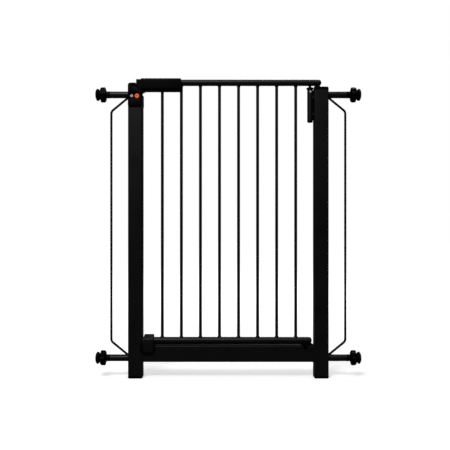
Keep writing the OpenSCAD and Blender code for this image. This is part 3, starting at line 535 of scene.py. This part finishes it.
# %% Tree helpers
def mesh_tree(name, sizes):
    """An empty geometry tree with a named input for each size, and a Finish for its material."""
    tree = bpy.data.node_groups.new(name, "GeometryNodeTree")
    tree.interface.new_socket("Geometry", in_out="OUTPUT", socket_type="NodeSocketGeometry")
    for label, value in sizes.items():
        kind = {int: "NodeSocketInt", float: "NodeSocketFloat", tuple: "NodeSocketVector"}[type(value)]
        tree.interface.new_socket(label, in_out="INPUT", socket_type=kind).default_value = value
    tree.interface.new_socket("Finish", in_out="INPUT", socket_type="NodeSocketMaterial")
    return tree, add(tree, "NodeGroupInput").outputs


def close_tree(tree, given, shape):
    """Ends a tree: instances made real, its finish set, and the geometry put out."""
    real = add(tree, "GeometryNodeRealizeInstances", {0: shape})
    coated = add(tree, "GeometryNodeSetMaterial",
                 {"Geometry": real.outputs[0], "Material": given["Finish"]})
    add(tree, "NodeGroupOutput", {0: coated.outputs[0]})


def grow(name, tree, slot_name, body, *parts, **sizes):
    """Runs a tree with these sizes and installs the plain mesh that it makes."""
    piece = bpy.data.objects.new(name, bpy.data.meshes.new(name))
    bpy.context.collection.objects.link(piece)
    rule = piece.modifiers.new("rule", "NODES")
    rule.node_group = tree
    values = {label.replace("_", " "): value for label, value in sizes.items()}
    for socket in tree.interface.items_tree:
        if socket.in_out != "INPUT":
            continue
        if socket.name == "Finish":
            rule[socket.identifier] = finishes[slot_name]
        elif socket.name.lower() in values:
            rule[socket.identifier] = values[socket.name.lower()]
    bpy.context.view_layer.update()
    piece = install(baked(piece), slot_name, body, *parts)
    print(name, len(piece.data.polygons), "faces")
    return piece


# %% [markdown]
# ## Upright bars
# Eight round bars are welded between the two rails. Where a bar meets a rail the weld leaves a
# small flare. The tree makes one bar with a flare at each end and sets a copy at each point of
# a line.

# %% Make the bars
bars, given = mesh_tree("welded_bars", {
    "First": (0.0, 0.0, 0.0), "Step": (0.1, 0.0, 0.0), "Count": 8,
    "Radius": 0.004, "Length": 0.7, "Flare": 0.006, "Flare height": 0.006})
bar = add(bars, "GeometryNodeMeshCylinder",
          {"Vertices": 28, "Radius": given["Radius"], "Depth": given["Length"]})
half = calc(bars, "MULTIPLY", given["Length"], 0.5)
up = along_z(bars, half)
down = add(bars, "ShaderNodeVectorMath", {0: up, 1: (1, 1, -1)}, operation="MULTIPLY")
flare = add(bars, "GeometryNodeMeshCone",
            {"Vertices": 28, "Side Segments": 3, "Radius Top": given["Radius"],
             "Radius Bottom": given["Flare"], "Depth": given["Flare height"]})
low_flare = moved(bars, flare.outputs[0], by=down.outputs[0])
high_flare = moved(bars, flare.outputs[0], by=up, turn=(math.pi, 0, 0))
welded = joined(bars, bar.outputs[0], low_flare, high_flare)
line = add(bars, "GeometryNodeMeshLine",
           {"Count": given["Count"], "Start Location": given["First"], "Offset": given["Step"]})
copies = add(bars, "GeometryNodeInstanceOnPoints", {"Points": line.outputs[0], "Instance": welded})
close_tree(bars, given, copies.outputs[0])

low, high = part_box("upright_bars")
bar_radius = (high.y - low.y) / 2
bar_count = 8
bar_step = (high.x - low.x - 2 * bar_radius) / (bar_count - 1)
grow("upright_bars_welded", bars, "black_powder_coat", "gate_panel", "upright_bars",
     first=(low.x + bar_radius, 0, (low.z + high.z) / 2), step=(bar_step, 0, 0), count=bar_count,
     radius=bar_radius, length=high.z - low.z, flare=bar_radius + 1.6 * mm, flare_height=5 * mm)

# %% [markdown]
# ## Filler wires
# A bent wire closes the gap between post and wall at each side. It is a straight wire bent at
# two places, so the tree takes four corner points, rounds the two bends and sweeps a round
# section along the path. Its ends run a little into the post and down onto the tube, where the
# real wire is welded.

# %% Make the wires
wires, given = mesh_tree("bent_wire", {
    "Top end": (0.0, 0.0, 1.0), "Top bend": (0.1, 0.0, 0.9), "Low bend": (0.1, 0.0, 0.1),
    "Low end": (0.0, 0.0, 0.0), "Bend radius": 0.014, "Radius": 0.003})
straight = add(wires, "GeometryNodeCurvePrimitiveLine")
four = add(wires, "GeometryNodeResampleCurve", {"Curve": straight.outputs[0], "Count": 4})
order = add(wires, "GeometryNodeInputIndex")
corner_choice = add(wires, "GeometryNodeIndexSwitch", {}, data_type="VECTOR")
while len(corner_choice.index_switch_items) < 4:
    corner_choice.index_switch_items.new()
wires.links.new(order.outputs[0], corner_choice.inputs["Index"])
for k, label in enumerate(("Top end", "Top bend", "Low bend", "Low end")):
    wires.links.new(given[label], corner_choice.inputs[k + 1])
placed = add(wires, "GeometryNodeSetPosition",
             {"Geometry": four.outputs[0], "Position": corner_choice.outputs[0]})
rounded = add(wires, "GeometryNodeFilletCurve",
              {"Curve": placed.outputs[0], "Radius": given["Bend radius"], "Count": 10}, mode="POLY")
section = add(wires, "GeometryNodeCurvePrimitiveCircle", {"Resolution": 20, "Radius": given["Radius"]})
swept = add(wires, "GeometryNodeCurveToMesh",
            {"Curve": rounded.outputs[0], "Profile Curve": section.outputs[0], "Fill Caps": True})
close_tree(wires, given, swept.outputs[0])

leg_slope = math.tan(math.radians(50.5))
wire_sink = 3 * mm
root = 1.2 * mm
for part in ("left_filler_wire", "right_filler_wire"):
    low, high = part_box(part)
    wire_radius = (high.y - low.y) / 2
    side = -1 if part.startswith("left") else 1
    post_face = side * min(abs(low.x), abs(high.x))
    bend_x = side * (max(abs(low.x), abs(high.x)) - wire_radius)
    high_end, low_end = high.z + wire_sink, low.z - wire_sink
    rise = abs(bend_x - post_face) / leg_slope
    grow(part + "_bent", wires, "black_powder_coat", "frame", part,
         top_end=(post_face - side * root, 0, high_end + root / leg_slope),
         top_bend=(bend_x, 0, high_end - rise), low_bend=(bend_x, 0, low_end + rise),
         low_end=(post_face - side * root, 0, low_end - root / leg_slope),
         bend_radius=0.014, radius=wire_radius)

# %% [markdown]
# ## Threaded rods
# Each foot is a threaded rod with a head inside its pad. The thread shows only when the foot is
# wound out, but then it is what the eye looks for. The tree coils a thin round section round a
# core at the thread's pitch.

# %% Make the rods
rods, given = mesh_tree("threaded_rod", {
    "Radius": 0.005, "Length": 0.075, "Pitch": 0.003, "Depth": 0.0005, "Head radius": 0.008,
    "Head height": 0.003, "Tail": (0.0, 0.0, 0.0), "Turn": (0.0, 0.0, 0.0)})
turns = calc(rods, "DIVIDE", given["Length"], given["Pitch"])
coil_radius = calc(rods, "SUBTRACT", given["Radius"], given["Depth"])
helix = add(rods, "GeometryNodeCurveSpiral",
            {"Resolution": 20, "Rotations": turns, "Start Radius": coil_radius,
             "End Radius": coil_radius, "Height": given["Length"]})
ridge = add(rods, "GeometryNodeCurvePrimitiveCircle", {"Resolution": 6, "Radius": given["Depth"]})
thread = add(rods, "GeometryNodeCurveToMesh",
             {"Curve": helix.outputs[0], "Profile Curve": ridge.outputs[0], "Fill Caps": True})
core = add(rods, "GeometryNodeMeshCylinder",
           {"Vertices": 32, "Radius": coil_radius, "Depth": given["Length"]})
middle = calc(rods, "MULTIPLY", given["Length"], 0.5)
core_lift = along_z(rods, middle)
core_up = moved(rods, core.outputs[0], by=core_lift)
head = add(rods, "GeometryNodeMeshCylinder",
           {"Vertices": 32, "Radius": given["Head radius"], "Depth": given["Head height"]})
head_half = calc(rods, "MULTIPLY", given["Head height"], 0.5)
head_z = calc(rods, "ADD", given["Length"], head_half)
head_lift = along_z(rods, head_z)
head_up = moved(rods, head.outputs[0], by=head_lift)
rod_parts = joined(rods, thread.outputs[0], core_up, head_up)
laid = moved(rods, rod_parts, by=given["Tail"], turn=given["Turn"])
close_tree(rods, given, laid)

rod_thread = {"radius": 5 * mm, "pitch": 3 * mm, "depth": 0.5 * mm}
rod_head = 3 * mm
for corner in corners:
    part = "rod_" + corner
    low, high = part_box(part)
    side = -1 if corner.startswith("left") else 1
    tail_x = low.x if side > 0 else high.x
    grow(part + "_threaded", rods, "zinc_steel", body_of[part], part,
         length=high.x - low.x - rod_head, head_height=rod_head,
         tail=(tail_x, 0, (low.z + high.z) / 2), turn=(0, side * math.pi / 2, 0), **rod_thread)

# %% [markdown]
# ## Weld beads
# A weld is a row of overlapping drops of metal. The tree rounds a rectangle into the joint's
# outline, which becomes a circle when its corner radius is half its side, and sets a small drop
# every millimetre or so. Paint covers the weld, so it takes the frame's finish.

# %% Make the weld beads
beads, given = mesh_tree("weld_bead", {
    "Centre": (0.0, 0.0, 0.0), "Height": 0.02, "Width": 0.02, "Corner": 0.01, "Drop": 0.0011,
    "Spacing": 0.0013})
outline = add(beads, "GeometryNodeCurvePrimitiveQuadrilateral",
              {"Width": given["Height"], "Height": given["Width"]})
outline_round = add(beads, "GeometryNodeFilletCurve",
                    {"Curve": outline.outputs[0], "Radius": given["Corner"], "Count": 12,
                     "Limit Radius": True}, mode="POLY")
spaced = add(beads, "GeometryNodeResampleCurve",
             {"Curve": outline_round.outputs[0], "Length": given["Spacing"]}, mode="LENGTH")
drop = add(beads, "GeometryNodeMeshIcoSphere", {"Radius": given["Drop"], "Subdivisions": 2})
vary = add(beads, "FunctionNodeRandomValue", {2: 0.85, 3: 1.0, "Seed": 7}, data_type="FLOAT")
drops = add(beads, "GeometryNodeInstanceOnPoints",
            {"Points": spaced.outputs[0], "Instance": drop.outputs[0], "Scale": vary.outputs[1]})
stood = moved(beads, drops.outputs[0], by=given["Centre"], turn=(0, math.pi / 2, 0))
close_tree(beads, given, stood)

tube_low, tube_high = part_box("right_side_tubes")
tube_radius = (tube_high.y - tube_low.y) / 2
nearly_all = 0.999
for side_name, side in (("left", -1), ("right", 1)):
    for level, z in (("top", tube_high.z - tube_radius), ("low", tube_low.z + tube_radius)):
        grow("weld_tube_%s_%s" % (side_name, level), beads, "black_powder_coat", "frame",
             centre=(side * tube_low.x, 0, z), height=2 * tube_radius, width=2 * tube_radius,
             corner=tube_radius * nearly_all, drop=1.1 * mm, spacing=1.3 * mm)
    low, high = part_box("crossbar")
    grow("weld_crossbar_" + side_name, beads, "black_powder_coat", "frame",
         centre=(side * high.x, 0, (low.z + high.z) / 2), height=high.z - low.z,
         width=high.y - low.y, corner=3 * mm, drop=0.8 * mm, spacing=1.1 * mm)

# %% [markdown]
# ## Screws
# Zinc-plated screws close the latch and handle from behind, and one shows at the front beside
# the button. The tree makes a low head with a sloped rim, cuts a cross recess in it, adds the
# shank, and sets as many copies as asked along a line.

# %% Make the screws
screws, given = mesh_tree("cross_head_screws", {
    "First": (0.0, 0.0, 0.0), "Step": (0.0, 0.0, 0.0), "Count": 1, "Head radius": 0.003,
    "Head height": 0.0015, "Shank radius": 0.0016, "Shank length": 0.01, "Turn": (0.0, 0.0, 0.0)})
dome = add(screws, "GeometryNodeMeshCone",
           {"Vertices": 40, "Side Segments": 4, "Radius Bottom": given["Head radius"],
            "Depth": given["Head height"]})
crown = calc(screws, "MULTIPLY", given["Head radius"], 0.66)
screws.links.new(crown, dome.inputs["Radius Top"])
slot_long = calc(screws, "MULTIPLY", given["Head radius"], 1.05)
slot_wide = calc(screws, "MULTIPLY", given["Head radius"], 0.24)
slot_size = add(screws, "ShaderNodeCombineXYZ",
                {"X": slot_long, "Y": slot_wide, "Z": given["Head height"]})
blade = add(screws, "GeometryNodeMeshCube", {"Size": slot_size.outputs[0]})
raised = calc(screws, "MULTIPLY", given["Head height"], 0.95)
blade_up = along_z(screws, raised)
blade_a = moved(screws, blade.outputs[0], by=blade_up)
blade_b = moved(screws, blade.outputs[0], by=blade_up, turn=(0, 0, math.pi / 2))
cut = add(screws, "GeometryNodeMeshBoolean", {"Mesh 1": dome.outputs[0]}, operation="DIFFERENCE")
for blade_turned in (blade_a, blade_b):
    screws.links.new(blade_turned, cut.inputs["Mesh 2"])
shank = add(screws, "GeometryNodeMeshCylinder",
            {"Vertices": 24, "Radius": given["Shank radius"], "Depth": given["Shank length"]})
shank_half = calc(screws, "MULTIPLY", given["Shank length"], -0.5)
shank_z = along_z(screws, shank_half)
shank_down = moved(screws, shank.outputs[0], by=shank_z)
screw = joined(screws, cut.outputs[0], shank_down)
screw_turned = moved(screws, screw, turn=given["Turn"])
screw_line = add(screws, "GeometryNodeMeshLine",
                 {"Count": given["Count"], "Start Location": given["First"], "Offset": given["Step"]})
screw_set = add(screws, "GeometryNodeInstanceOnPoints",
                {"Points": screw_line.outputs[0], "Instance": screw_turned})
close_tree(screws, given, screw_set.outputs[0])

facing_front = (math.pi / 2, math.radians(20), 0)
facing_back = (-math.pi / 2, math.radians(35), 0)
inset, head_depth = 3 * mm, 1.5 * mm
rear_head = {"head_radius": 3 * mm, "head_height": head_depth, "shank_radius": 1.6 * mm,
             "turn": facing_back}

low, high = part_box("latch_cover_screw")
front_head = 1.6 * mm
grow("latch_cover_screw_cross", screws, "zinc_steel", "frame", "latch_cover_screw",
     first=((low.x + high.x) / 2, low.y + front_head, (low.z + high.z) / 2), count=1,
     head_radius=4.8 * mm, head_height=front_head, shank_radius=1.6 * mm,
     shank_length=high.y - low.y - front_head, turn=facing_front)

low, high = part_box("latch_rear_screws")
grow("latch_rear_screw_long", screws, "zinc_steel", "frame", "latch_rear_screws",
     first=(low.x + inset, high.y - head_depth, high.z - inset), count=1,
     shank_length=high.y - low.y - head_depth, **rear_head)
grow("latch_rear_screw_short", screws, "zinc_steel", "frame",
     first=(high.x - inset, high.y - head_depth, low.z + inset), count=1,
     shank_length=6 * mm, **rear_head)

low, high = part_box("handle_screws")
grow("handle_screws_cross", screws, "zinc_steel", "gate_panel", "handle_screws",
     first=(low.x + inset, high.y - head_depth, (low.z + high.z) / 2),
     step=(high.x - low.x - 2 * inset, 0, 0), count=2,
     shank_length=high.y - low.y - head_depth, **rear_head)

low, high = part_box("clip_screw")
grow("clip_screw_cross", screws, "zinc_steel", "gate_panel", "clip_screw",
     first=((low.x + high.x) / 2, high.y - head_depth, (low.z + high.z) / 2), count=1,
     shank_length=high.y - low.y - head_depth, **{**rear_head, "head_radius": 3.2 * mm})

# %% [markdown]
# ## The two springs
# The button and the lock bolt each push against a coil spring. Each spring is a copy of the imported
# coil with a mesh of its own, hung on the body of its part; its length is not changed here.

# %% Make the two springs
for part, joint, axis, stroke in (("button_spring", "button_push", (0, 1, 0), 3.0),
                                  ("bolt_spring", "bolt_slide", (1, 0, 0), 11.0)):
    low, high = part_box(part)
    spring = bpy.data.objects.new(part + "_coil", frame["nodes"][part].data.copy())
    install(spring, "zinc_steel", body_of[part], part)
    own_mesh(spring)
